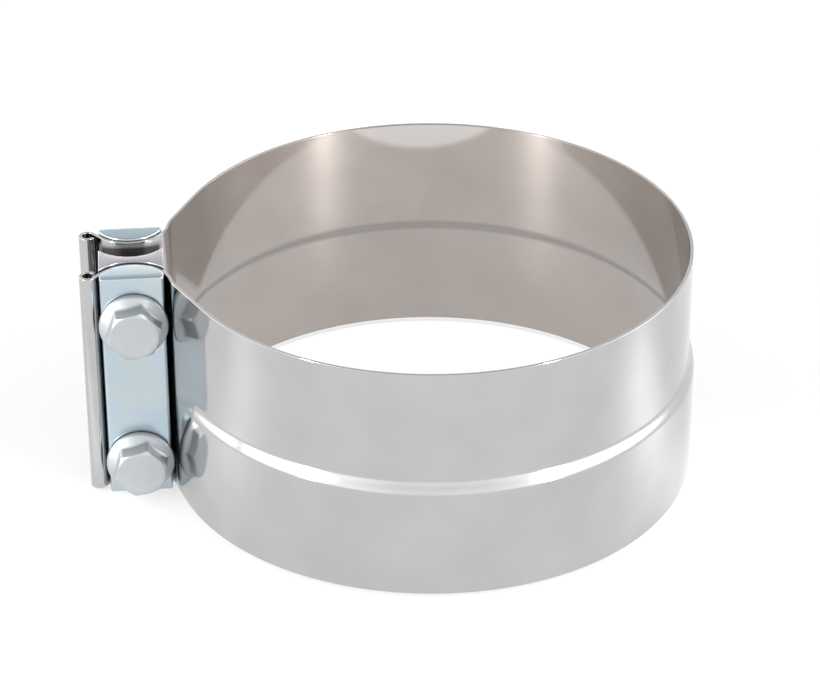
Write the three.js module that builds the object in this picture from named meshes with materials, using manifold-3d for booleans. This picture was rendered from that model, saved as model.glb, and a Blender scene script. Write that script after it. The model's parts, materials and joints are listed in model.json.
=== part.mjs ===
// Stepped lap-joint band clamp: a wide stainless band whose two ends wrap half-round clamping bars,
// a reaction block between them, and two flange bolts with flange nuts that draw the bars together.
//
// Millimetres, +Z up along the pipe. The bolts run along Y, and the bracket stands on the -X side.
// The bars stand on Z = 0 and the band's lower rim is just above it. The origin is the middle of
// the object's footprint.

import * as THREE from 'three';
import { LoftGeometry } from 'three/addons/geometries/LoftGeometry.js';
import { mergeVertices } from 'three/addons/utils/BufferGeometryUtils.js';
import Module from 'manifold-3d';

const wasm = await Module();
wasm.setup();

// ---------------------------------------------------------------- driving dimensions

const FIT_GAP = 0.3; // air left between pieces that touch on the real clamp

// The band: bent from one strip, with a step rolled round the middle of its width.
const SHEET = 0.8;
const BAND_HEIGHT = 60.6;
const UPPER_RADIUS = 65.4; // outside of the upper half, over a 5 inch pipe
const LOWER_RADIUS = 66.9; // outside of the lower half, one pipe wall larger
const STEP_LOW = 27.7;
const STEP_HIGH = 31.7;
const SLIT = 0.3; // between the two halves of the model's band, opposite the bolts

// The clamping bars: half-round section, round side towards the gap between the ears.
const BAR_REACH = 74.7; // from the pipe's axis to the middle of a bar and the bolts
const BAR_WIDTH = 15.8;
const BAR_THICKNESS = 7.2;
const BAR_ROUND_RADIUS = 8.9;
const BAR_ROUND_TOP = 6.5; // from the middle plane to the crown of the round side
const BAR_OVERHANG = 0.5; // how far the bars stand out past the band's rims
const BAR_HOLE_RADIUS = 4.9;

// The rolled bead along each end of the band.
const BEAD_RADIUS = 2.2;
const BEAD_REACH = 85.3;
const BEAD_SIDE = 10.3; // from the middle plane to the bead's centre
const BEAD_TURN = THREE.MathUtils.degToRad(280);

// The knee: beside the bars the band is pulled out of round, over a tighter bend.
const KNEE_RADIUS = 12;
const KNEE_REACH = 53.3;
const KNEE_SIDE = 12;

// Slots in the ears.
const SLOT_HALF_WIDTH = 5;
const SLOT_EXTRA = 1; // how far each end of the slot's straight sides is from its middle

// The reaction block: a web with a hollow on each side.
const BLOCK_WIDTH = 16;
const BLOCK_WEB = 2.5;
const BLOCK_SEAT_RADIUS = 10.45; // the hollow that the front ear lies in
const BLOCK_CRADLE_RADIUS = 9.8; // the open hollow that the rear ear is drawn into
const BLOCK_HOLE_RADIUS = 4.5;

// M8 flange bolts and flange nuts.
const BOLT_HEIGHTS = { lower: 9.2, upper: 48.8 };
const SHANK_RADIUS = 3.9;
const BOLT_LENGTH = 40;
const FLANGE_RADIUS = 8.55;
const FLANGE_RIM = 1.2;
const ACROSS_FLATS = 12;
const HEAD_HEIGHT = 6.6;
const HEAD_TURNS = { lower: 45, upper: 42 }; // degrees from a corner at the top
const NUT_HEIGHT = 8;
const CONE_HEIGHT = 2.8; // from the seat to where the flange's cone meets the hexagon
const END_CHAMFER = 1;

// ---------------------------------------------------------------- derived places

const BAR_LENGTH = BAND_HEIGHT + 2 * BAR_OVERHANG;
const PIPE_X = (BEAD_REACH + BEAD_RADIUS - LOWER_RADIUS) / 2; // the pipe's axis
const BAR_X = PIPE_X - BAR_REACH;
const BAR_CENTRE_SIDE = BAR_ROUND_TOP + BAR_ROUND_RADIUS;
const BAR_FACE_SIDE = BAR_ROUND_TOP + BAR_THICKNESS;
const EAR_MID_RADIUS = BAR_ROUND_RADIUS + FIT_GAP + SHEET / 2;
const BEAD_MID_RADIUS = BEAD_RADIUS - SHEET / 2;
const SEAT_SIDE = BAR_FACE_SIDE + FIT_GAP;
const FRONT = -1;
const REAR = 1;

// ---------------------------------------------------------------- looks

const STAINLESS = { color: 0xc9c7c4, roughness: 0.16, metalness: 1 };
const BLUE_ZINC = { color: 0xbccad2, roughness: 0.38, metalness: 1 };
const BRIGHT_BLOCK = { color: 0xc4c2cb, roughness: 0.24, metalness: 1 };
const PALE_ZINC = { color: 0xc6ccca, roughness: 0.34, metalness: 1 };

// ---------------------------------------------------------------- helpers

function solidFrom(geometry) {
  const bare = new THREE.BufferGeometry();
  bare.setAttribute('position', geometry.getAttribute('position'));
  bare.setIndex(geometry.getIndex());
  const merged = mergeVertices(bare, 1e-4);
  return new wasm.Manifold(new wasm.Mesh({
    numProp: 3,
    vertProperties: merged.attributes.position.array,
    triVerts: new Uint32Array(merged.index.array),
  }));
}

function geometryFrom(solid) {
  const mesh = solid.getMesh();
  const geometry = new THREE.BufferGeometry();
  geometry.setAttribute('position', new THREE.BufferAttribute(mesh.vertProperties, 3));
  geometry.setIndex(new THREE.BufferAttribute(mesh.triVerts, 1));
  geometry.computeVertexNormals();
  return geometry;
}

function piece(name, solid, look) {
  const mesh = new THREE.Mesh(geometryFrom(solid), new THREE.MeshStandardMaterial(look));
  mesh.name = name;
  return mesh;
}

// A drill along Y through the bracket at the given height.
function drill(radius, height) {
  const length = 4 * BAR_FACE_SIDE;
  const geometry = new THREE.CylinderGeometry(radius, radius, length, 28);
  geometry.translate(BAR_X, 0, height);
  return solidFrom(geometry);
}

function withBoltHoles(solid, radius) {
  return solid.subtract(drill(radius, BOLT_HEIGHTS.lower)).subtract(drill(radius, BOLT_HEIGHTS.upper));
}

// ---------------------------------------------------------------- the band

// The band's middle line is drawn in a plan with u outwards from the pipe's axis to the bolts,
// and v away from the middle plane. Each point keeps the direction of the band's outer side.

// One arc of the middle line. A clockwise arc has the outer side away from its centre.
function arc(centre, radius, from, to, steps) {
  const outward = from > to ? 1 : -1;
  const points = [];
  for (let i = 0; i <= steps; i += 1) {
    const angle = from + (to - from) * i / steps;
    const ray = new THREE.Vector2(Math.cos(angle), Math.sin(angle));
    points.push({
      at: ray.clone().multiplyScalar(radius).add(centre),
      outer: ray.clone().multiplyScalar(outward),
    });
  }
  return points;
}

// The angle on the first of two circles where the straight that crosses between them leaves it.
function crossing(first, firstRadius, second, secondRadius, clockwiseFirst) {
  const between = second.clone().sub(first);
  const swing = Math.acos((firstRadius + secondRadius) / between.length());
  const direction = Math.atan2(between.y, between.x);
  return direction + (clockwiseFirst ? swing : -swing);
}

// The angle at which a straight leaves the first circle to run on along the same side of the second.
function alongside(first, firstRadius, second, secondRadius) {
  const between = second.clone().sub(first);
  return Math.atan2(between.y, between.x) + Math.acos((firstRadius - secondRadius) / between.length());
}

// From the slit opposite the bolts, round the pipe, over the knee, round the bar and into the bead.
function middleLine(outsideRadius) {
  const pipe = new THREE.Vector2(0, 0);
  const knee = new THREE.Vector2(KNEE_REACH, KNEE_SIDE);
  const bar = new THREE.Vector2(BAR_REACH, BAR_CENTRE_SIDE);
  const bead = new THREE.Vector2(BEAD_REACH, BEAD_SIDE);
  const radius = outsideRadius - SHEET / 2;
  const start = Math.PI - Math.asin(SLIT / 2 / radius);
  const leavePipe = alongside(pipe, radius, knee, KNEE_RADIUS);
  const leaveKnee = crossing(knee, KNEE_RADIUS, bar, EAR_MID_RADIUS, true);
  const leaveBar = crossing(bar, EAR_MID_RADIUS, bead, BEAD_MID_RADIUS, false);
  const meetBead = leaveBar + Math.PI;
  return [
    ...arc(pipe, radius, start, leavePipe, 50),
    ...arc(knee, KNEE_RADIUS, leavePipe, leaveKnee, 4),
    ...arc(bar, EAR_MID_RADIUS, leaveKnee - Math.PI, leaveBar, 14),
    ...arc(bead, BEAD_MID_RADIUS, meetBead, meetBead - BEAD_TURN, 20),
  ];
}

// The strip's outline at one height over its lower rim: along its outer side and back along its inner side.
function bandSection(outsideRadius, height, side) {
  const line = middleLine(outsideRadius);
  const offset = (point, distance) => point.at.clone().addScaledVector(point.outer, distance);
  const outline = [
    ...line.map((point) => offset(point, SHEET / 2)),
    ...line.reverse().map((point) => offset(point, -SHEET / 2)),
  ];
  const level = BAR_OVERHANG + height;
  const placed = outline.map((p) => new THREE.Vector3(PIPE_X - p.x, side * p.y, level));
  return THREE.ShapeUtils.isClockWise(placed) ? placed.reverse() : placed;
}

// A slot through one ear, long way across the bar.
function earSlot(height, side) {
  const slot = new THREE.Shape();
  slot.absarc(SLOT_EXTRA, 0, SLOT_HALF_WIDTH, -Math.PI / 2, Math.PI / 2, false);
  slot.absarc(-SLOT_EXTRA, 0, SLOT_HALF_WIDTH, Math.PI / 2, 1.5 * Math.PI, false);
  const depth = BAR_FACE_SIDE;
  const geometry = new THREE.ExtrudeGeometry(slot, { depth, bevelEnabled: false, curveSegments: 12 });
  geometry.rotateX(Math.PI / 2);
  geometry.translate(BAR_X, side > 0 ? depth : 0, height);
  return solidFrom(geometry);
}

function bandHalf(side) {
  const sections = [bandSection(LOWER_RADIUS, 0, side)];
  const stepLevels = 6;
  for (let i = 0; i <= stepLevels; i += 1) {
    const share = i / stepLevels;
    const radius = THREE.MathUtils.lerp(LOWER_RADIUS, UPPER_RADIUS, THREE.MathUtils.smoothstep(share, 0, 1));
    sections.push(bandSection(radius, THREE.MathUtils.lerp(STEP_LOW, STEP_HIGH, share), side));
  }
  sections.push(bandSection(UPPER_RADIUS, BAND_HEIGHT, side));
  const strip = solidFrom(new LoftGeometry(sections, { capStart: true, capEnd: true }));
  return strip.subtract(earSlot(BOLT_HEIGHTS.lower, side)).subtract(earSlot(BOLT_HEIGHTS.upper, side));
}

// ---------------------------------------------------------------- bars and reaction block

function clampingBar(side) {
  const half = BAR_WIDTH / 2;
  const corner = Math.acos(half / BAR_ROUND_RADIUS);
  const section = new THREE.Shape();
  section.absarc(0, BAR_CENTRE_SIDE, BAR_ROUND_RADIUS, -Math.PI + corner, -corner, false);
  section.lineTo(half, BAR_FACE_SIDE);
  section.lineTo(-half, BAR_FACE_SIDE);
  const geometry = new THREE.ExtrudeGeometry(section, {
    depth: BAR_LENGTH,
    bevelEnabled: false,
    curveSegments: 20,
  });
  if (side === FRONT) geometry.rotateZ(Math.PI);
  geometry.translate(BAR_X, 0, 0);
  return withBoltHoles(solidFrom(geometry), BAR_HOLE_RADIUS);
}

function reactionBlock() {
  const half = BLOCK_WIDTH / 2;
  const seatCentre = -BAR_CENTRE_SIDE;
  const cradleCentre = seatCentre + BLOCK_SEAT_RADIUS + BLOCK_WEB + BLOCK_CRADLE_RADIUS;
  const seatCorner = Math.acos(half / BLOCK_SEAT_RADIUS);
  const cradleCorner = Math.acos(half / BLOCK_CRADLE_RADIUS);
  const section = new THREE.Shape();
  section.absarc(0, seatCentre, BLOCK_SEAT_RADIUS, Math.PI - seatCorner, seatCorner, true);
  section.absarc(0, cradleCentre, BLOCK_CRADLE_RADIUS, -cradleCorner, -Math.PI + cradleCorner, true);
  const geometry = new THREE.ExtrudeGeometry(section, {
    depth: BAR_LENGTH,
    bevelEnabled: false,
    curveSegments: 20,
  });
  geometry.translate(BAR_X, 0, 0);
  return withBoltHoles(solidFrom(geometry), BLOCK_HOLE_RADIUS);
}

// ---------------------------------------------------------------- bolts and nuts

// These are turned about Y. The seat is at y = 0, and the hexagon stands on the +y side of it.

function hexagon(height) {
  const corners = ACROSS_FLATS / Math.sqrt(3);
  const geometry = new THREE.CylinderGeometry(corners, corners, height, 6);
  geometry.translate(0, height / 2, 0);
  return solidFrom(geometry);
}

// Turns the hexagon's outer corners off at 30 degrees.
function cornerTurning(height) {
  const corners = ACROSS_FLATS / Math.sqrt(3);
  const face = ACROSS_FLATS / 2 + 0.1;
  const profile = [
    new THREE.Vector2(0, -1),
    new THREE.Vector2(corners + 1, -1),
    new THREE.Vector2(corners + 1, height - (corners + 1 - face) * Math.tan(Math.PI / 6)),
    new THREE.Vector2(face, height),
    new THREE.Vector2(0, height),
  ];
  return solidFrom(new THREE.LatheGeometry(profile, 36));
}

function flange() {
  const top = ACROSS_FLATS / 2 - 0.4;
  const profile = [
    new THREE.Vector2(0, 0),
    new THREE.Vector2(FLANGE_RADIUS, 0),
    new THREE.Vector2(FLANGE_RADIUS, FLANGE_RIM),
    new THREE.Vector2(top, CONE_HEIGHT),
    new THREE.Vector2(0, CONE_HEIGHT),
  ];
  return solidFrom(new THREE.LatheGeometry(profile, 36));
}

function flangedHexagon(height) {
  return hexagon(height).intersect(cornerTurning(height)).add(flange());
}

function flangeBolt() {
  const profile = [
    new THREE.Vector2(0, 1),
    new THREE.Vector2(SHANK_RADIUS, 1),
    new THREE.Vector2(SHANK_RADIUS, -BOLT_LENGTH + END_CHAMFER),
    new THREE.Vector2(SHANK_RADIUS - END_CHAMFER, -BOLT_LENGTH),
    new THREE.Vector2(0, -BOLT_LENGTH),
  ].reverse();
  const shank = solidFrom(new THREE.LatheGeometry(profile, 28));
  return flangedHexagon(HEAD_HEIGHT).add(shank);
}

function flangeNut() {
  const bore = new THREE.CylinderGeometry(SHANK_RADIUS + FIT_GAP, SHANK_RADIUS + FIT_GAP, 4 * NUT_HEIGHT, 28);
  return flangedHexagon(NUT_HEIGHT).subtract(solidFrom(bore));
}

// Puts a bolt's or nut's seat against the outer face of one bar.
function seat(mesh, side, place) {
  mesh.position.set(BAR_X, side * SEAT_SIDE, BOLT_HEIGHTS[place]);
  mesh.rotation.order = 'ZYX';
  mesh.rotation.z = side === FRONT ? Math.PI : 0;
  mesh.rotation.y = THREE.MathUtils.degToRad(HEAD_TURNS[place]);
  return mesh;
}

// ---------------------------------------------------------------- the clamp

const clamp = new THREE.Group();
clamp.add(piece('band_front_half', bandHalf(FRONT), STAINLESS));
clamp.add(piece('band_rear_half', bandHalf(REAR), STAINLESS));
clamp.add(piece('front_clamping_bar', clampingBar(FRONT), BLUE_ZINC));
clamp.add(piece('rear_clamping_bar', clampingBar(REAR), BLUE_ZINC));
clamp.add(piece('reaction_block', reactionBlock(), BRIGHT_BLOCK));
for (const place of Object.keys(BOLT_HEIGHTS)) {
  clamp.add(seat(piece(`flange_bolt_${place}`, flangeBolt(), PALE_ZINC), FRONT, place));
  clamp.add(seat(piece(`flange_nut_${place}`, flangeNut(), PALE_ZINC), REAR, place));
}

export default clamp;
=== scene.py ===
import json
import math

import bmesh
import bpy
from mathutils import Matrix, Vector


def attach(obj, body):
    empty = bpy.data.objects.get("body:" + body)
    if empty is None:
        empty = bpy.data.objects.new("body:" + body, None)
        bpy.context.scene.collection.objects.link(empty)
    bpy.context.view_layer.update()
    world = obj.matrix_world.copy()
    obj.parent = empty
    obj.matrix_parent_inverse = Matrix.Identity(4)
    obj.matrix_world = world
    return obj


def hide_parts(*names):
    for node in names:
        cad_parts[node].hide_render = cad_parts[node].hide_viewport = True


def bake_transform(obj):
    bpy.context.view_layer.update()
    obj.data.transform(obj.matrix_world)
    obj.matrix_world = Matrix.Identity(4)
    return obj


# Stepped lap-joint band clamp: a bright stainless band wrapped round two blue zinc bars, a block
# between its ears, and two flange bolts with flange nuts. Lengths are in millimetres up to
# the meshes, which are in metres.

MM = 0.001

# ---------------------------------------------------------------- frame

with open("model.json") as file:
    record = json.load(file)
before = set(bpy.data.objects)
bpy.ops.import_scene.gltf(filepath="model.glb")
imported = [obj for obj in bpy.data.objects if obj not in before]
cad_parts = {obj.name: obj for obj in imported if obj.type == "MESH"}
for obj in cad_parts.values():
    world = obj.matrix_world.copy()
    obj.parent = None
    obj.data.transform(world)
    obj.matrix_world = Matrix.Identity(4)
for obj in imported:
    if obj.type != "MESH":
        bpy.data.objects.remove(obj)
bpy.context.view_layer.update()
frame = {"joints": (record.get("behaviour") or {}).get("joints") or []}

joints = {joint["name"]: joint for joint in frame["joints"]}
bolt_heights = {
    "lower": joints["lower_bolt_turn"]["pos_m"][2] / MM,
    "upper": joints["upper_bolt_turn"]["pos_m"][2] / MM,
}

# ---------------------------------------------------------------- dimensions

SHEET = 0.8
BAND_LOW = 0.5
BAND_HEIGHT = 60.6
UPPER_RADIUS = 65.4
LOWER_RADIUS = 66.9
STEP_LOW = 27.7
STEP_HIGH = 31.7
RIM_ROUND = 0.16
RIM_SUPPORT = 0.12

KNEE_RADIUS = 12.0
KNEE_REACH = 53.3
KNEE_SIDE = 12.0
EAR_MID_RADIUS = 9.6
BAR_REACH = 74.7
BAR_CENTRE_SIDE = 15.4
BAR_ROUND_RADIUS = 8.9
BAR_FACE_SIDE = 13.7
BAR_WIDTH = 15.8
BAR_LENGTH = 61.6
BAR_HOLE_RADIUS = 4.9
BEAD_MID_RADIUS = 1.8
BEAD_REACH = 85.3
BEAD_SIDE = 10.3
BEAD_TURN = math.radians(280)
# where the inner side's satin material, whose darker colour is partly painted shade, begins along
# the ring
SATIN_SHADED_STARTS = 8.4
RING_STEPS = 190
KNEE_STEPS = 16
EAR_STEPS = 44
BEAD_STEPS = 56
STRAIGHT_STEPS = (10, 6, 6)
STEP_ROWS = 20
WALL_ROWS = 8
SLOT_HALF_WIDTH = 5.0
SLOT_EXTRA = 1.0

BLOCK_WIDTH = 16.0
BLOCK_WEB = 2.5
BLOCK_SEAT_RADIUS = 10.45
BLOCK_CRADLE_RADIUS = 9.8
BLOCK_HOLE_RADIUS = 4.5
BLOCK_CORNER = 0.6
BLOCK_RIM = 0.8
BAR_INNER_CORNER = 0.5
BAR_OUTER_CORNER = 0.9
BAR_RIM = 0.45
ROUND_STEPS = 22

SEAT_SIDE = 14.0
SHANK_RADIUS = 3.9
THREAD_DEPTH = 0.62
THREAD_PITCH = 1.25
BOLT_LENGTH = 40.0
FLANGE_RADIUS = 8.55
FLANGE_RIM = 1.2
ACROSS_FLATS = 12.0
HEAD_HEIGHT = 6.6
NUT_HEIGHT = 8.0
NUT_BORE_RADIUS = 4.12
HEAD_TURNS = {"lower": math.radians(-15), "upper": math.radians(-12)}

BAND_SMOOTH_DEGREES = 40
BAR_SMOOTH_DEGREES = 32
BOLT_SMOOTH_DEGREES = 38

BAR_X = joints["lower_bolt_turn"]["pos_m"][0] / MM
PIPE_X = BAR_X + BAR_REACH

# ---------------------------------------------------------------- mesh helpers


def object_from(name, mesh):
    obj = bpy.data.objects.new(name, mesh)
    bpy.context.scene.collection.objects.link(obj)
    return obj


def mesh_from(name, vertices, faces):
    mesh = bpy.data.meshes.new(name)
    mesh.from_pydata([Vector(v) * MM for v in vertices], [], faces)
    mesh.validate()
    return mesh


def grid_faces(rows, columns):
    """Quads between rows of points, where each row closes into a ring."""
    faces = []
    for row in range(rows - 1):
        for column in range(columns):
            a = row * columns + column
            b = row * columns + (column + 1) % columns
            faces.append((a, b, b + columns, a + columns))
    return faces


def prism_faces(count):
    """Sides and ends of a prism whose outline has count points."""
    ends = [tuple(range(count)), tuple(range(2 * count - 1, count - 1, -1))]
    return grid_faces(2, count) + ends


def outward(mesh):
    """Turns every face outwards, whichever way round the points were laid."""
    work = bmesh.new()
    work.from_mesh(mesh)
    bmesh.ops.recalc_face_normals(work, faces=work.faces)
    work.to_mesh(mesh)
    work.free()


def finish_shading(obj, degrees=BAR_SMOOTH_DEGREES):
    for polygon in obj.data.polygons:
        polygon.use_smooth = True
    obj.data.set_sharp_from_angle(angle=math.radians(degrees))


def apply_modifiers(obj):
    graph = bpy.context.evaluated_depsgraph_get()
    obj.data = bpy.data.meshes.new_from_object(obj.evaluated_get(graph))
    obj.modifiers.clear()


def cutter_along_y(outline, low, high):
    """A closed prism along Y from an outline in x and z."""
    count = len(outline)
    vertices = [(x, y, z) for y in (low, high) for x, z in outline]
    mesh = mesh_from("cutter", vertices, prism_faces(count))
    outward(mesh)
    return object_from("cutter", mesh)


def round_outline(x, z, radius, half_length=0.0, steps=40):
    points = []
    for i in range(steps):
        angle = 2 * math.pi * (i + 0.5) / steps
        shift = half_length if math.cos(angle) > 0 else -half_length
        points.append((x + shift + radius * math.cos(angle), z + radius * math.sin(angle)))
    return points


def cut(obj, cutters):
    for cutter in cutters:
        modifier = obj.modifiers.new("cut", "BOOLEAN")
        modifier.operation = "DIFFERENCE"
        modifier.solver = "EXACT"
        modifier.object = cutter
    bpy.context.view_layer.update()
    apply_modifiers(obj)
    for cutter in cutters:
        bpy.data.objects.remove(cutter)


# ---------------------------------------------------------------- the band

# The middle line is drawn in a plan with u outwards from the pipe's axis to the bolts and v away
# from the middle plane. Every point keeps the direction of the band's outer side.


def arc(centre, radius, start, end, steps):
    side = 1 if start > end else -1
    points = []
    for i in range(steps + 1):
        angle = start + (end - start) * i / steps
        ray = Vector((math.cos(angle), math.sin(angle)))
        points.append((centre + ray * radius, ray * side))
    return points


def crossing(first, first_radius, second, second_radius, clockwise_first):
    between = second - first
    swing = math.acos((first_radius + second_radius) / between.length)
    direction = math.atan2(between.y, between.x)
    return direction + (swing if clockwise_first else -swing)


def alongside(first, first_radius, second, second_radius):
    between = second - first
    swing = math.acos((first_radius - second_radius) / between.length)
    return math.atan2(between.y, between.x) + swing


def straight(points, following, steps):
    """Points strictly between the last of one run and the first of the next."""
    (here, side), (there, _) = points[-1], following[0]
    return [(here.lerp(there, i / steps), side) for i in range(1, steps)]


def middle_line(outside_radius):
    pipe = Vector((0, 0))
    knee = Vector((KNEE_REACH, KNEE_SIDE))
    bar = Vector((BAR_REACH, BAR_CENTRE_SIDE))
    bead = Vector((BEAD_REACH, BEAD_SIDE))
    radius = outside_radius - SHEET / 2
    leave_pipe = alongside(pipe, radius, knee, KNEE_RADIUS)
    leave_knee = crossing(knee, KNEE_RADIUS, bar, EAR_MID_RADIUS, True)
    leave_bar = crossing(bar, EAR_MID_RADIUS, bead, BEAD_MID_RADIUS, False)
    meet_bead = leave_bar + math.pi
    runs = [
        arc(pipe, radius, math.pi, leave_pipe, RING_STEPS),
        arc(knee, KNEE_RADIUS, leave_pipe, leave_knee, KNEE_STEPS),
        arc(bar, EAR_MID_RADIUS, leave_knee - math.pi, leave_bar, EAR_STEPS),
        arc(bead, BEAD_MID_RADIUS, meet_bead, meet_bead - BEAD_TURN, BEAD_STEPS),
    ]
    line = list(runs[0])
    for run, steps in zip(runs[1:], STRAIGHT_STEPS):
        line += straight(line, run, steps) + run
    return line


def smoothstep(share):
    return share * share * (3 - 2 * share)


def band_radius(height):
    share = min(max((height - STEP_LOW) / (STEP_HIGH - STEP_LOW), 0), 1)
    return LOWER_RADIUS + (UPPER_RADIUS - LOWER_RADIUS) * smoothstep(share)


def band_heights():
    step = [STEP_LOW + (STEP_HIGH - STEP_LOW) * i / STEP_ROWS for i in range(STEP_ROWS + 1)]
    first = RIM_ROUND + RIM_SUPPORT
    last = BAND_HEIGHT - RIM_ROUND - RIM_SUPPORT
    low = [first + (STEP_LOW - first) * i / WALL_ROWS for i in range(WALL_ROWS)]
    high = [STEP_HIGH + (last - STEP_HIGH) * i / WALL_ROWS for i in range(1, WALL_ROWS + 1)]
    return [RIM_ROUND, *low, *step, *high, last + RIM_SUPPORT]


def band_section():
    """The strip's cross-section as (distance to the outer side, height), with rounded rims."""
    half = SHEET / 2
    quarter = [i / 4 * math.pi / 2 for i in range(1, 4)]
    outer = [(half, height) for height in band_heights()]
    top = [
        (half - RIM_ROUND * (1 - math.cos(a)), BAND_HEIGHT - RIM_ROUND * (1 - math.sin(a)))
        for a in quarter
    ]
    bottom = [(offset, BAND_HEIGHT - height) for offset, height in reversed(top)]
    middle_top = [(half - RIM_ROUND, BAND_HEIGHT), (RIM_ROUND - half, BAND_HEIGHT)]
    middle_bottom = [(RIM_ROUND - half, 0), (half - RIM_ROUND, 0)]
    mirrored_top = [(-offset, height) for offset, height in reversed(top)]
    mirrored_bottom = [(-offset, height) for offset, height in reversed(bottom)]
    inner = [(-offset, height) for offset, height in reversed(outer)]
    upper = top + middle_top + mirrored_top
    lower = mirrored_bottom + middle_bottom + bottom
    return outer + upper + inner + lower


def band_mesh():
    section = band_section()
    lines = {}
    for _, height in section:
        radius = band_radius(height)
        if radius not in lines:
            front = [(PIPE_X - at.x, -at.y, -side.x, -side.y) for at, side in middle_line(radius)]
            rear = [(x, -y, nx, -ny) for x, y, nx, ny in front[1:]]
            lines[radius] = rear[::-1] + front
    count = len(next(iter(lines.values())))
    vertices = []
    for i in range(count):
        for offset, height in section:
            x, y, nx, ny = lines[band_radius(height)][i]
            vertices.append((x + nx * offset, y + ny * offset, BAND_LOW + height))
    columns = len(section)
    faces = grid_faces(count, columns)
    faces.append(tuple(range(columns)))
    faces.append(tuple(range((count - 1) * columns, count * columns)))
    mesh = mesh_from("band", vertices, faces)
    outward(mesh)
    for polygon in mesh.polygons:
        offsets = [section[v % columns][0] for v in polygon.vertices]
        # inside the ring the inner side takes the satin material, whose darker colour is partly
        # painted shade
        inside_ring = polygon.center.x / MM > BAR_X + SATIN_SHADED_STARTS
        polygon.material_index = 1 if max(offsets) < 0 and inside_ring else 0

    # the unrolled strip: along its length and up its width
    travelled = [0.0]
    reference = lines[band_radius(0)]
    for here, there in zip(reference, reference[1:]):
        travelled.append(travelled[-1] + math.dist(here[:2], there[:2]))
    unrolled = mesh.uv_layers.new(name="strip")
    for loop in mesh.loops:
        row, column = divmod(loop.vertex_index, columns)
        unrolled.data[loop.index].uv = (travelled[row] * MM, section[column][1] * MM)
    return mesh


def make_band():
    band = object_from("band", band_mesh())
    cutters = []
    for height in bolt_heights.values():
        outline = round_outline(BAR_X, height, SLOT_HALF_WIDTH, SLOT_EXTRA)
        cutters.append(cutter_along_y(outline, -BAR_FACE_SIDE, 0))
        cutters.append(cutter_along_y(outline, 0, BAR_FACE_SIDE))
    cut(band, cutters)
    finish_shading(band, BAND_SMOOTH_DEGREES)
    return band


# ---------------------------------------------------------------- bars and block


def prism_up(name, outline, roundings, rim_round):
    """A prism along Z with rounded corners and rims. roundings gives the radius by corner."""
    count = len(outline)
    vertices = [(x, y, z) for z in (0.0, BAR_LENGTH) for x, y in outline]
    mesh = mesh_from(name, vertices, prism_faces(count))
    outward(mesh)
    work = bmesh.new()
    work.from_mesh(mesh)
    weight = work.edges.layers.float.new("bevel_weight_edge")
    largest = max(list(roundings.values()) + [rim_round])
    for edge in work.edges:
        first, second = sorted(v.index for v in edge.verts)
        if second - first == count:
            edge[weight] = roundings.get(first, 0.0) / largest
        else:
            edge[weight] = rim_round / largest
    work.to_mesh(mesh)
    work.free()
    obj = object_from(name, mesh)
    bevel = obj.modifiers.new("rounding", "BEVEL")
    bevel.limit_method = "WEIGHT"
    bevel.width = largest * MM
    bevel.segments = 5
    bevel.profile = 0.5
    bevel.use_clamp_overlap = True
    bpy.context.view_layer.update()
    apply_modifiers(obj)
    return obj


def bolt_hole_cutters(radius):
    reach = 2 * BAR_FACE_SIDE
    return [
        cutter_along_y(round_outline(BAR_X, height, radius), -reach, reach)
        for height in bolt_heights.values()
    ]


def make_bar(name, side):
    half = BAR_WIDTH / 2
    corner = math.acos(half / BAR_ROUND_RADIUS)
    outline = []
    for i in range(ROUND_STEPS + 1):
        angle = math.pi + corner + (math.pi - 2 * corner) * i / ROUND_STEPS
        across = BAR_ROUND_RADIUS * math.cos(angle)
        outline.append((across, BAR_CENTRE_SIDE + BAR_ROUND_RADIUS * math.sin(angle)))
    outline += [(half, BAR_FACE_SIDE), (-half, BAR_FACE_SIDE)]
    roundings = {
        0: BAR_INNER_CORNER,
        ROUND_STEPS: BAR_INNER_CORNER,
        ROUND_STEPS + 1: BAR_OUTER_CORNER,
        ROUND_STEPS + 2: BAR_OUTER_CORNER,
    }
    placed = [(BAR_X + x * side, y * side) for x, y in outline]
    bar = prism_up(name, placed, roundings, BAR_RIM)
    cut(bar, bolt_hole_cutters(BAR_HOLE_RADIUS))
    finish_shading(bar)
    return bar


def make_block():
    half = BLOCK_WIDTH / 2
    seat_centre = -BAR_CENTRE_SIDE
    cradle_centre = seat_centre + BLOCK_SEAT_RADIUS + BLOCK_WEB + BLOCK_CRADLE_RADIUS
    outline = []
    for centre, radius, way in (
        (seat_centre, BLOCK_SEAT_RADIUS, 1),
        (cradle_centre, BLOCK_CRADLE_RADIUS, -1),
    ):
        corner = math.acos(half / radius)
        for i in range(ROUND_STEPS + 1):
            angle = corner + (math.pi - 2 * corner) * i / ROUND_STEPS
            x = BAR_X + radius * math.cos(angle) * -way
            outline.append((x, centre + way * radius * math.sin(angle)))
    corners = (0, ROUND_STEPS, ROUND_STEPS + 1, 2 * ROUND_STEPS + 1)
    roundings = {i: BLOCK_CORNER for i in corners}
    block = prism_up("reaction_block_bright", outline, roundings, BLOCK_RIM)
    cut(block, bolt_hole_cutters(BLOCK_HOLE_RADIUS))
    finish_shading(block)
    return block


# ---------------------------------------------------------------- bolts and nuts

# They are drawn about their own +Z: the seat is at z = 0, and the hexagon stands above it.

CORNER_STEPS = (0.0, 0.6, 1.2, 2.0, 3.2, 5.0, 8.0, 12.0, 17.0, 23.0)
CORNER_LOSS = 0.12
CORNER_SOFTNESS = 0.06
CORNER_CHAMFER = math.radians(30)
CONE_TOP = 2.75
CONE_TOP_RADIUS = 5.6
HEAD_DISH = 0.14
SHANK_COLUMNS = 48
ROWS_PER_TURN = 10
GROOVE_STEEPNESS = 1.3
GROOVE_LAND = 0.15
THREAD_FADE_FROM = 0.5
THREAD_FADE_LENGTH = 1.5
TIP_CHAMFER = 1.0
SHANK_OVERLAP = 0.5


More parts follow.
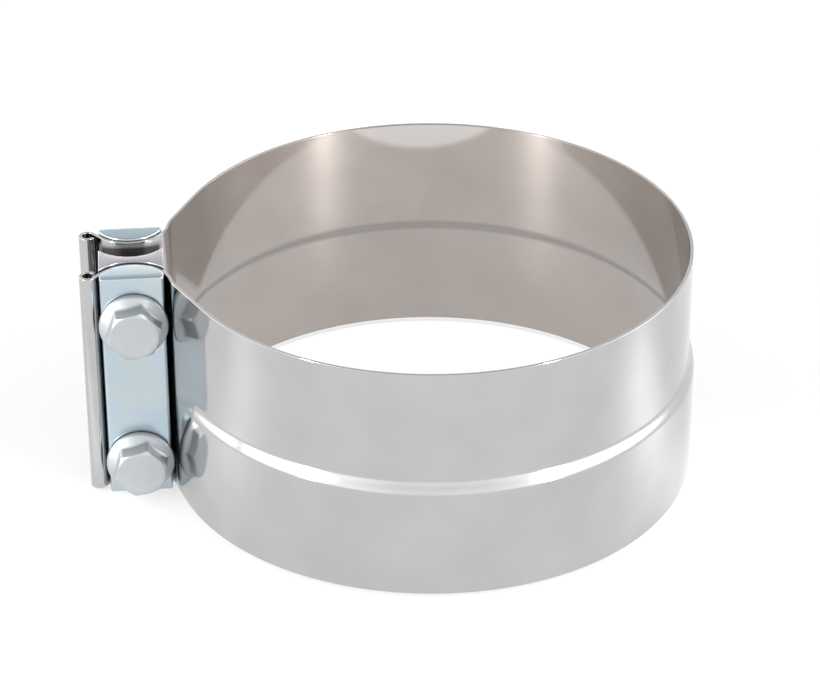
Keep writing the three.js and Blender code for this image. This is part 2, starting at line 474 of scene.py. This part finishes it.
def around():
    """Directions round the axis, close together near the hexagon's corners."""
    directions = []
    for side in range(6):
        middle = 60 * side
        directions += [middle - 30 + step for step in CORNER_STEPS]
        directions += [middle]
        directions += [middle + 30 - step for step in reversed(CORNER_STEPS[1:])]
    return [math.radians(d) for d in directions]


def hexagon_radius(direction):
    turned = (direction + math.pi / 6) % (math.pi / 3) - math.pi / 6
    flat = ACROSS_FLATS / 2 / math.cos(turned)
    corner = ACROSS_FLATS / math.sqrt(3) - CORNER_LOSS
    flat_share = math.exp(-flat / CORNER_SOFTNESS)
    corner_share = math.exp(-corner / CORNER_SOFTNESS)
    return -CORNER_SOFTNESS * math.log(flat_share + corner_share)


def flanged_profile(direction, height, bore):
    """One radial profile, from the middle of the top face to the middle of the seat."""
    wall = hexagon_radius(direction)
    face = ACROSS_FLATS / 2 + 0.1
    drop = max(0.0, wall - face) * math.tan(CORNER_CHAMFER)
    top = height - drop
    slope = (CONE_TOP - FLANGE_RIM) / (FLANGE_RADIUS - CONE_TOP_RADIUS)

    def cone(radius):
        return FLANGE_RIM + (FLANGE_RADIUS - radius) * slope

    edge = min(wall, face)
    if bore:
        middle = [(bore, 0.35), (bore, height - 0.5), (bore + 0.5, height)]
    else:
        low = height - HEAD_DISH
        middle = [(0.0, low), (3.6, low), (4.3, height - 0.7 * HEAD_DISH), (4.9, height)]
    profile = middle + [
        (edge - 0.35, height),
        (edge - 0.12, height - 0.03),
        (max(edge, wall - 0.22), top - 0.06),
        (wall - 0.06, top - 0.16),
        (wall, top - 0.32),
        (wall, cone(wall) + 0.62),
        (wall + 0.05, cone(wall + 0.05) + 0.34),
        (wall + 0.2, cone(wall + 0.2) + 0.14),
        (wall + 0.45, cone(wall + 0.45) + 0.03),
        (wall + 0.7, cone(wall + 0.7)),
        (FLANGE_RADIUS - 0.55, cone(FLANGE_RADIUS - 0.55)),
        (FLANGE_RADIUS - 0.28, cone(FLANGE_RADIUS - 0.28) - 0.03),
        (FLANGE_RADIUS - 0.08, FLANGE_RIM - 0.12),
        (FLANGE_RADIUS, FLANGE_RIM - 0.34),
        (FLANGE_RADIUS, 0.34),
        (FLANGE_RADIUS - 0.1, 0.1),
        (FLANGE_RADIUS - 0.34, 0.0),
    ]
    if bore:
        return profile + [(bore + 0.35, 0.0)]
    return profile + [(SHANK_RADIUS, 0.02), (0.0, 0.02)]


def flanged_head(height, bore):
    directions = around()
    profiles = [flanged_profile(d, height, bore) for d in directions]
    count = len(profiles[0])
    vertices = []
    for level in range(count):
        for direction, profile in zip(directions, profiles):
            radius, z = profile[level]
            vertices.append((radius * math.cos(direction), radius * math.sin(direction), z))
    rows = count + 1 if bore else count
    if bore:
        vertices += vertices[: len(directions)]
    return vertices, grid_faces(rows, len(directions))


def threaded_shank(start, end):
    """A threaded rod hanging below the seat from -start to -end, with a chamfered tip."""
    columns = SHANK_COLUMNS
    row_height = THREAD_PITCH / ROWS_PER_TURN
    rows = int(round((end - start) / row_height)) + 1
    vertices = []
    for row in range(rows):
        depth = start + (end - start) * row / (rows - 1)
        for column in range(columns):
            angle = 2 * math.pi * column / columns
            phase = (depth / THREAD_PITCH + column / columns) % 1
            flank = GROOVE_STEEPNESS * (1 - abs(2 * phase - 1)) - GROOVE_LAND
            groove = min(1.0, max(0.0, flank))
            fade = min(1.0, max(0.0, (depth - start - THREAD_FADE_FROM) / THREAD_FADE_LENGTH))
            radius = SHANK_RADIUS - THREAD_DEPTH * groove * fade
            radius = min(radius, SHANK_RADIUS - TIP_CHAMFER + (end - depth))
            vertices.append((radius * math.cos(angle), radius * math.sin(angle), -depth))
    faces = grid_faces(rows, columns)
    faces.append(tuple(range(columns)))
    faces.append(tuple(range((rows - 1) * columns, rows * columns)))
    return vertices, faces


def fastener(name, height, bore, side, place, shank):
    vertices, faces = flanged_head(height, bore)
    if shank:
        more, more_faces = threaded_shank(-SHANK_OVERLAP, BOLT_LENGTH)
        faces += [tuple(i + len(vertices) for i in face) for face in more_faces]
        vertices += more
    mesh = mesh_from(name, vertices, faces)
    work = bmesh.new()
    work.from_mesh(mesh)
    bmesh.ops.remove_doubles(work, verts=work.verts, dist=1e-7)
    bmesh.ops.recalc_face_normals(work, faces=work.faces)
    work.to_mesh(mesh)
    work.free()
    # the axis is laid along +Y or -Y, with the hexagon turned by HEAD_TURNS
    stand = Matrix.Rotation(math.radians(90 if side < 0 else -90), 4, "X")
    flat_up = Matrix.Rotation(math.radians(90), 4, "Z")
    tilt = Matrix.Rotation(HEAD_TURNS[place], 4, "Y")
    at = Vector((BAR_X, side * SEAT_SIDE, bolt_heights[place])) * MM
    mesh.transform(Matrix.Translation(at) @ tilt @ stand @ flat_up)
    obj = object_from(name, mesh)
    finish_shading(obj, BOLT_SMOOTH_DEGREES)
    return obj


# ---------------------------------------------------------------- materials


def new_material(name):
    material = bpy.data.materials.new(name)
    material.use_nodes = True
    nodes = material.node_tree.nodes
    return material, nodes, material.node_tree.links, nodes["Principled BSDF"]


def noise(nodes, links, vector, scale, detail=3.0, roughness=0.5):
    node = nodes.new("ShaderNodeTexNoise")
    node.inputs["Scale"].default_value = scale
    node.inputs["Detail"].default_value = detail
    node.inputs["Roughness"].default_value = roughness
    links.new(vector, node.inputs["Vector"])
    return node.outputs["Fac"]


def ramp(nodes, links, value, stops):
    node = nodes.new("ShaderNodeValToRGB")
    elements = node.color_ramp.elements
    while len(elements) < len(stops):
        elements.new(0.5)
    for element, (position, colour) in zip(elements, stops):
        element.position = position
        element.color = (*colour, 1.0)
    links.new(value, node.inputs["Fac"])
    return node.outputs["Color"]


def mapped(nodes, links, value, low, high, start=0.3, end=0.7):
    node = nodes.new("ShaderNodeMapRange")
    node.inputs["From Min"].default_value = start
    node.inputs["From Max"].default_value = end
    node.inputs["To Min"].default_value = low
    node.inputs["To Max"].default_value = high
    links.new(value, node.inputs["Value"])
    return node.outputs["Result"]


def calculate(nodes, links, operation, *values):
    node = nodes.new("ShaderNodeMath")
    node.operation = operation
    for socket, value in zip(node.inputs, values):
        if isinstance(value, (int, float)):
            socket.default_value = value
        else:
            links.new(value, socket)
    return node.outputs["Value"]


def stretched(nodes, links, vector, scale):
    node = nodes.new("ShaderNodeMapping")
    node.inputs["Scale"].default_value = scale
    links.new(vector, node.inputs["Vector"])
    return node.outputs["Vector"]


def bump(nodes, links, shader, height, strength, distance):
    node = nodes.new("ShaderNodeBump")
    node.inputs["Strength"].default_value = strength
    node.inputs["Distance"].default_value = distance
    links.new(height, node.inputs["Height"])
    links.new(node.outputs["Normal"], shader.inputs["Normal"])


def pocket_painted_shade(nodes, links):
    """Painted shade: how far the sheet is darkened in the pocket between block and rear ear, below
    the rim.
    """
    split = nodes.new("ShaderNodeSeparateXYZ")
    links.new(nodes.new("ShaderNodeTexCoord").outputs["Object"], split.inputs["Vector"])
    offset = calculate(nodes, links, "SUBTRACT", split.outputs["X"], BAR_X * MM)
    aside = calculate(nodes, links, "ABSOLUTE", offset)
    across = mapped(nodes, links, aside, 1.0, 0.0, *POCKET_HALF_WIDTH)
    behind = mapped(nodes, links, split.outputs["Y"], 0.0, 1.0, *POCKET_NEAR)
    before = mapped(nodes, links, split.outputs["Y"], 1.0, 0.0, *POCKET_FAR)
    square = calculate(nodes, links, "MULTIPLY", aside, aside)
    bow = calculate(nodes, links, "MULTIPLY", square, POCKET_BOW)
    depth = calculate(nodes, links, "ADD", split.outputs["Z"], bow)
    below = mapped(nodes, links, depth, 1.0, 0.0, *POCKET_TOP)
    shade = calculate(nodes, links, "MULTIPLY", across, behind)
    shade = calculate(nodes, links, "MULTIPLY", shade, before)
    return calculate(nodes, links, "MULTIPLY", shade, below)


def step_painted_shade(nodes, links):
    """Painted shade: a darker line along the inside of the step."""
    strip = nodes.new("ShaderNodeUVMap")
    strip.uv_map = "strip"
    split = nodes.new("ShaderNodeSeparateXYZ")
    links.new(strip.outputs["UV"], split.inputs["Vector"])
    middle = (STEP_LOW + STEP_HIGH) / 2 * MM
    offset = calculate(nodes, links, "SUBTRACT", split.outputs["Y"], middle)
    off = calculate(nodes, links, "ABSOLUTE", offset)
    return mapped(nodes, links, off, STEP_PAINTED_SHADE, 0.0, *STEP_PAINTED_SHADE_EDGE)


def stainless(name, painted_shade, dulling, colours, roughness, anisotropy, gloss_over):
    """Rolled sheet whose fine rolling lines spread highlights across the strip.

    Its second argument says where shade is painted on the sheet as a darker colour, and dulling
    how far the sheet also turns matt there.
    """
    material, nodes, links, shader = new_material(name)
    strip = nodes.new("ShaderNodeUVMap")
    strip.uv_map = "strip"
    rolled = stretched(nodes, links, strip.outputs["UV"], (60, 2500, 1))
    lines = noise(nodes, links, rolled, 1.0, 2.0)
    cloud = noise(nodes, links, strip.outputs["UV"], 60.0, 2.0)
    clean = ramp(nodes, links, cloud, [(0.35, colours[0]), (0.65, colours[1])])
    # sockets 6 and 7 of a Mix node are its two colours, and output 2 is their mix
    shaded = nodes.new("ShaderNodeMix")
    shaded.data_type = "RGBA"
    # amount is where shade is painted: the base colour is mixed towards a dark colour there
    amount = painted_shade(nodes, links)
    links.new(amount, shaded.inputs["Factor"])
    links.new(clean, shaded.inputs[6])
    shaded.inputs[7].default_value = (*PAINTED_SHADE_COLOUR, 1.0)
    links.new(shaded.outputs[2], shader.inputs["Base Color"])
    clean_rough = mapped(nodes, links, lines, *roughness)
    if dulling:
        dulled = calculate(nodes, links, "MULTIPLY", amount, dulling)
        rough = calculate(nodes, links, "MULTIPLY_ADD", dulled, MATT_ROUGHNESS, clean_rough)
        links.new(rough, shader.inputs["Roughness"])
        links.new(calculate(nodes, links, "SUBTRACT", 1.0, dulled), shader.inputs["Metallic"])
    else:
        links.new(clean_rough, shader.inputs["Roughness"])
        shader.inputs["Metallic"].default_value = 1.0
    shader.inputs["Anisotropic"].default_value = anisotropy
    shader.inputs["Anisotropic Rotation"].default_value = 0.25
    shader.inputs["Coat Weight"].default_value = gloss_over
    shader.inputs["Coat Roughness"].default_value = 0.05
    shader.inputs["Coat IOR"].default_value = 2.2
    tangent = nodes.new("ShaderNodeTangent")
    tangent.direction_type = "UV_MAP"
    tangent.uv_map = "strip"
    links.new(tangent.outputs["Tangent"], shader.inputs["Tangent"])
    return material


def plated(name, stops, roughness, cloud_scale, grain=0.12):
    """Zinc plate: cloudy film colours over a fine satin grain."""
    material, nodes, links, shader = new_material(name)
    place = nodes.new("ShaderNodeTexCoord").outputs["Object"]
    cloud = noise(nodes, links, place, cloud_scale, 2.0)
    grains = noise(nodes, links, place, 2500.0, 4.0, 0.6)
    links.new(ramp(nodes, links, cloud, stops), shader.inputs["Base Color"])
    links.new(mapped(nodes, links, grains, *roughness), shader.inputs["Roughness"])
    shader.inputs["Metallic"].default_value = 1.0
    bump(nodes, links, shader, grains, grain, 0.0001)
    return material


# where the pocket's painted shade fades out, in metres: aside from the bolts' plane, at its near
# and far ends, and below the rim, which bows down by POCKET_BOW times the square of the distance
# aside
POCKET_HALF_WIDTH = (0.0070, 0.0080)
POCKET_NEAR = (0.0035, 0.0045)
POCKET_FAR = (0.0100, 0.0110)
POCKET_TOP = (0.0594, 0.0611)
POCKET_BOW = 20.0
POCKET_DULLING = 0.9
MATT_ROUGHNESS = 0.6
# how far the painted shade along the inside of the step darkens the sheet, and where it fades, in
# metres from the step's middle
STEP_PAINTED_SHADE = 0.5
STEP_PAINTED_SHADE_EDGE = (0.0009, 0.0021)
# the dark colour of the painted shade, in the pocket and along the step
PAINTED_SHADE_COLOUR = (0.020, 0.017, 0.016)
# each side of the sheet: two colours, roughness, anisotropy, gloss over it
BRIGHT_SIDE = (((0.50, 0.492, 0.497), (0.53, 0.522, 0.53)), (0.07, 0.15), 0.5, 0.0)
# inside the ring: a satin finish with colours darker and warmer than the bright side's, partly for
# the duller finish and partly as painted shade for the inside of the ring
SATIN_SHADED_SIDE = (((0.325, 0.283, 0.255), (0.355, 0.313, 0.285)), (0.34, 0.42), 0.9, 1.0)

# ---------------------------------------------------------------- pieces

band = make_band()
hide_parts("band_front_half", "band_rear_half")
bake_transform(band)
# the outside of the sheet carries painted shade in the pocket between block and rear ear
outside = stainless("stainless_outside", pocket_painted_shade, POCKET_DULLING, *BRIGHT_SIDE)
# the inside of the sheet carries a line of painted shade along the step
inside = stainless("stainless_inside", step_painted_shade, 0.0, *SATIN_SHADED_SIDE)
band.data.materials.append(outside)
band.data.materials.append(inside)

blue_zinc = plated(
    "blue_zinc_plate",
    [
        (0.3, (0.46, 0.55, 0.62)),
        (0.5, (0.49, 0.58, 0.64)),
        (0.62, (0.52, 0.59, 0.60)),
        (0.72, (0.48, 0.54, 0.63)),
    ],
    (0.16, 0.28),
    70.0,
)
pale_zinc = plated(
    "pale_zinc_plate",
    [(0.3, (0.46, 0.495, 0.50)), (0.5, (0.49, 0.515, 0.525)), (0.7, (0.51, 0.52, 0.54))],
    (0.40, 0.52),
    120.0,
)
bright_block = plated(
    "bright_steel",
    [(0.3, (0.50, 0.485, 0.52)), (0.7, (0.55, 0.54, 0.58))],
    (0.18, 0.28),
    90.0,
)


def dress(obj, material, slot, body, *nodes):
    obj.data.materials.clear()
    obj.data.materials.append(material)
    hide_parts(*nodes)
    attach(obj, body)


dress(make_bar("front_bar_zinc", -1), blue_zinc, "bars", "front_side", "front_clamping_bar")
dress(make_bar("rear_bar_zinc", 1), blue_zinc, "bars", "rear_bar", "rear_clamping_bar")
dress(make_block(), bright_block, "block", "front_side", "reaction_block")
for place in ("lower", "upper"):
    bolt = fastener(f"{place}_bolt_zinc", HEAD_HEIGHT, None, -1, place, True)
    dress(bolt, pale_zinc, "fasteners", f"{place}_bolt", f"flange_bolt_{place}")
    nut = fastener(f"{place}_nut_zinc", NUT_HEIGHT, NUT_BORE_RADIUS, 1, place, False)
    dress(nut, pale_zinc, "fasteners", f"{place}_nut", f"flange_nut_{place}")

# ---------------------------------------------------------------- floor, light and camera


def pool(nodes, links, x, y, centre, spread, strength, sharpness):
    """A pool of light on the floor, with a flatter top and a closer edge for more sharpness."""
    falls = []
    for value, middle, width in ((x, centre[0], spread[0]), (y, centre[1], spread[1])):
        offset = calculate(nodes, links, "SUBTRACT", value, middle)
        share = calculate(nodes, links, "DIVIDE", offset, width)
        off = calculate(nodes, links, "ABSOLUTE", share)
        falls.append(calculate(nodes, links, "POWER", off, sharpness))
    total = calculate(nodes, links, "ADD", *falls)
    glow = calculate(nodes, links, "EXPONENT", calculate(nodes, links, "MULTIPLY", total, -1.0))
    return calculate(nodes, links, "MULTIPLY", glow, strength)


def well_light(nodes, links, x, y):
    """Light on the floor inside the ring: strongest along the front wall, and ending at it."""
    across = calculate(nodes, links, "SUBTRACT", x, PIPE_X * MM)
    square = calculate(nodes, links, "MULTIPLY", across, across)
    radius = calculate(nodes, links, "SQRT", calculate(nodes, links, "MULTIPLY_ADD", y, y, square))
    inside = mapped(nodes, links, radius, 1.0, 0.0, *WELL_RIM)
    front = mapped(nodes, links, y, WELL_FRONT_GLOW, WELL_GLOW, *WELL_FRONT)
    return calculate(nodes, links, "MULTIPLY", front, inside)


def make_floor():
    signs = ((-1, -1), (1, -1), (1, 1), (-1, 1))
    corners = [(x * FLOOR_HALF, y * FLOOR_HALF, -FLOOR_DROP) for x, y in signs]
    mesh = mesh_from("floor", corners, [(0, 1, 2, 3)])
    floor = object_from("floor", mesh)
    material, nodes, links, shader = new_material("pale_floor")
    place = nodes.new("ShaderNodeTexCoord").outputs["Object"]
    greys = [(0.0, (0.34, 0.34, 0.34)), (1.0, (0.36, 0.36, 0.36))]
    grey = ramp(nodes, links, noise(nodes, links, place, 3.0), greys)
    links.new(grey, shader.inputs["Base Color"])
    split = nodes.new("ShaderNodeSeparateXYZ")
    links.new(place, split.inputs["Vector"])
    glow = FLOOR_GLOW
    x, y = split.outputs["X"], split.outputs["Y"]
    for values in FLOOR_POOLS:
        glow = calculate(nodes, links, "ADD", glow, pool(nodes, links, x, y, *values))
    glow = calculate(nodes, links, "ADD", glow, well_light(nodes, links, x, y))
    shader.inputs["Roughness"].default_value = 0.9
    shader.inputs["Specular IOR Level"].default_value = 0.0
    shader.inputs["Emission Color"].default_value = (1, 1, 1, 1)
    links.new(glow, shader.inputs["Emission Strength"])
    mesh.materials.append(material)


def softbox(name, azimuth, elevation, distance, width, height, power):
    """An area light aimed at the clamp. Azimuth 0 is in front of it, and 90 is on its right."""
    light = bpy.data.lights.new(name, "AREA")
    light.shape = "RECTANGLE"
    light.size = width
    light.size_y = height
    light.energy = power
    obj = bpy.data.objects.new(name, light)
    bpy.context.scene.collection.objects.link(obj)
    turn = math.radians(azimuth)
    rise = math.radians(elevation)
    level = math.cos(rise)
    back = Vector((math.sin(turn) * level, -math.cos(turn) * level, math.sin(rise)))
    obj.location = Vector((PIPE_X * MM, 0, LIGHT_AIM_HEIGHT)) + back * distance
    obj.rotation_euler = back.to_track_quat("Z", "Y").to_euler()
    obj.visible_camera = False


def make_world():
    """A studio that is bright in front and to the sides, and dimmer behind and overhead."""
    world = bpy.data.worlds.new("studio")
    world.use_nodes = True
    nodes, links = world.node_tree.nodes, world.node_tree.links
    split = nodes.new("ShaderNodeSeparateXYZ")
    links.new(nodes.new("ShaderNodeTexCoord").outputs["Generated"], split.inputs["Vector"])
    across = mapped(nodes, links, split.outputs["Y"], WORLD_FRONT, WORLD_BACK, *WORLD_DEPTH)
    upward = mapped(nodes, links, split.outputs["Z"], 1.0, WORLD_TOP, *WORLD_RISE)
    aside = calculate(nodes, links, "ABSOLUTE", split.outputs["X"])
    sideways = mapped(nodes, links, aside, 1.0, WORLD_SIDES, *WORLD_ASIDE)
    strength = calculate(nodes, links, "MULTIPLY", across, upward)
    strength = calculate(nodes, links, "MULTIPLY", strength, sideways)
    links.new(strength, nodes["Background"].inputs["Strength"])
    nodes["Background"].inputs["Color"].default_value = (1.0, 1.0, 1.0, 1.0)
    bpy.context.scene.world = world


def make_camera():
    data = bpy.data.cameras.new("camera")
    data.sensor_width = 36.0
    data.lens = LENS_MM
    data.clip_start = 0.01
    data.clip_end = 50.0
    camera = bpy.data.objects.new("camera", data)
    bpy.context.scene.collection.objects.link(camera)
    camera.location = CAMERA_AT
    camera.rotation_euler = (math.radians(90) - CAMERA_DOWN, 0.0, CAMERA_TURN)
    bpy.context.scene.camera = camera


CAMERA_AT = (-0.05861, -0.67350, 0.43045)
CAMERA_DOWN = math.radians(30.473)
CAMERA_TURN = math.radians(-5.401)
LENS_MM = 135.7
LIGHT_AIM_HEIGHT = 0.03

# name, azimuth, elevation, distance, width, height, power
SOFTBOXES = (
    ("left_softbox", -66, 22, 1.6, 1.2, 1.1, 4.5),
    ("left_fill", -112, 22, 1.6, 1.3, 1.1, 6.5),
    ("left_strip", -55, 12, 1.55, 0.16, 0.6, 10.5),
    ("right_softbox", 94, 22, 1.6, 1.0, 1.1, 8.5),
    ("right_fill", 58.5, 22, 1.6, 1.1, 1.1, 2.4),
    ("right_strip", 43, 12, 1.55, 0.17, 0.6, 13),
    ("back_strip", 180, 10, 1.6, 2.0, 0.4, 6),
)

FLOOR_HALF = 6000.0
FLOOR_DROP = 0.2
FLOOR_GLOW = 0.58
# each pool: centre, spread, strength, sharpness of the edge
FLOOR_POOLS = (
    ((0.120, -0.032), (0.055, 0.022), 0.60, 2.0),
    ((-0.110, -0.034), (0.045, 0.020), 0.32, 2.0),
)
# the light inside the ring: where it fades towards the back, and where it ends at the wall
WELL_FRONT = (-0.0440, -0.0410)
WELL_RIM = (0.0648, 0.0660)
WELL_GLOW = 0.30
WELL_FRONT_GLOW = 2.0
WORLD_FRONT = 1.35
WORLD_BACK = 1.05
WORLD_TOP = 0.50
WORLD_SIDES = 1.28
# between which parts of the direction the world's brightness changes
WORLD_DEPTH = (-0.6, 0.6)
WORLD_RISE = (0.35, 0.8)
WORLD_ASIDE = (0.3, 0.6)

make_floor()
make_world()
for box in SOFTBOXES:
    softbox(*box)
make_camera()
bpy.context.scene.view_settings.view_transform = "Standard"
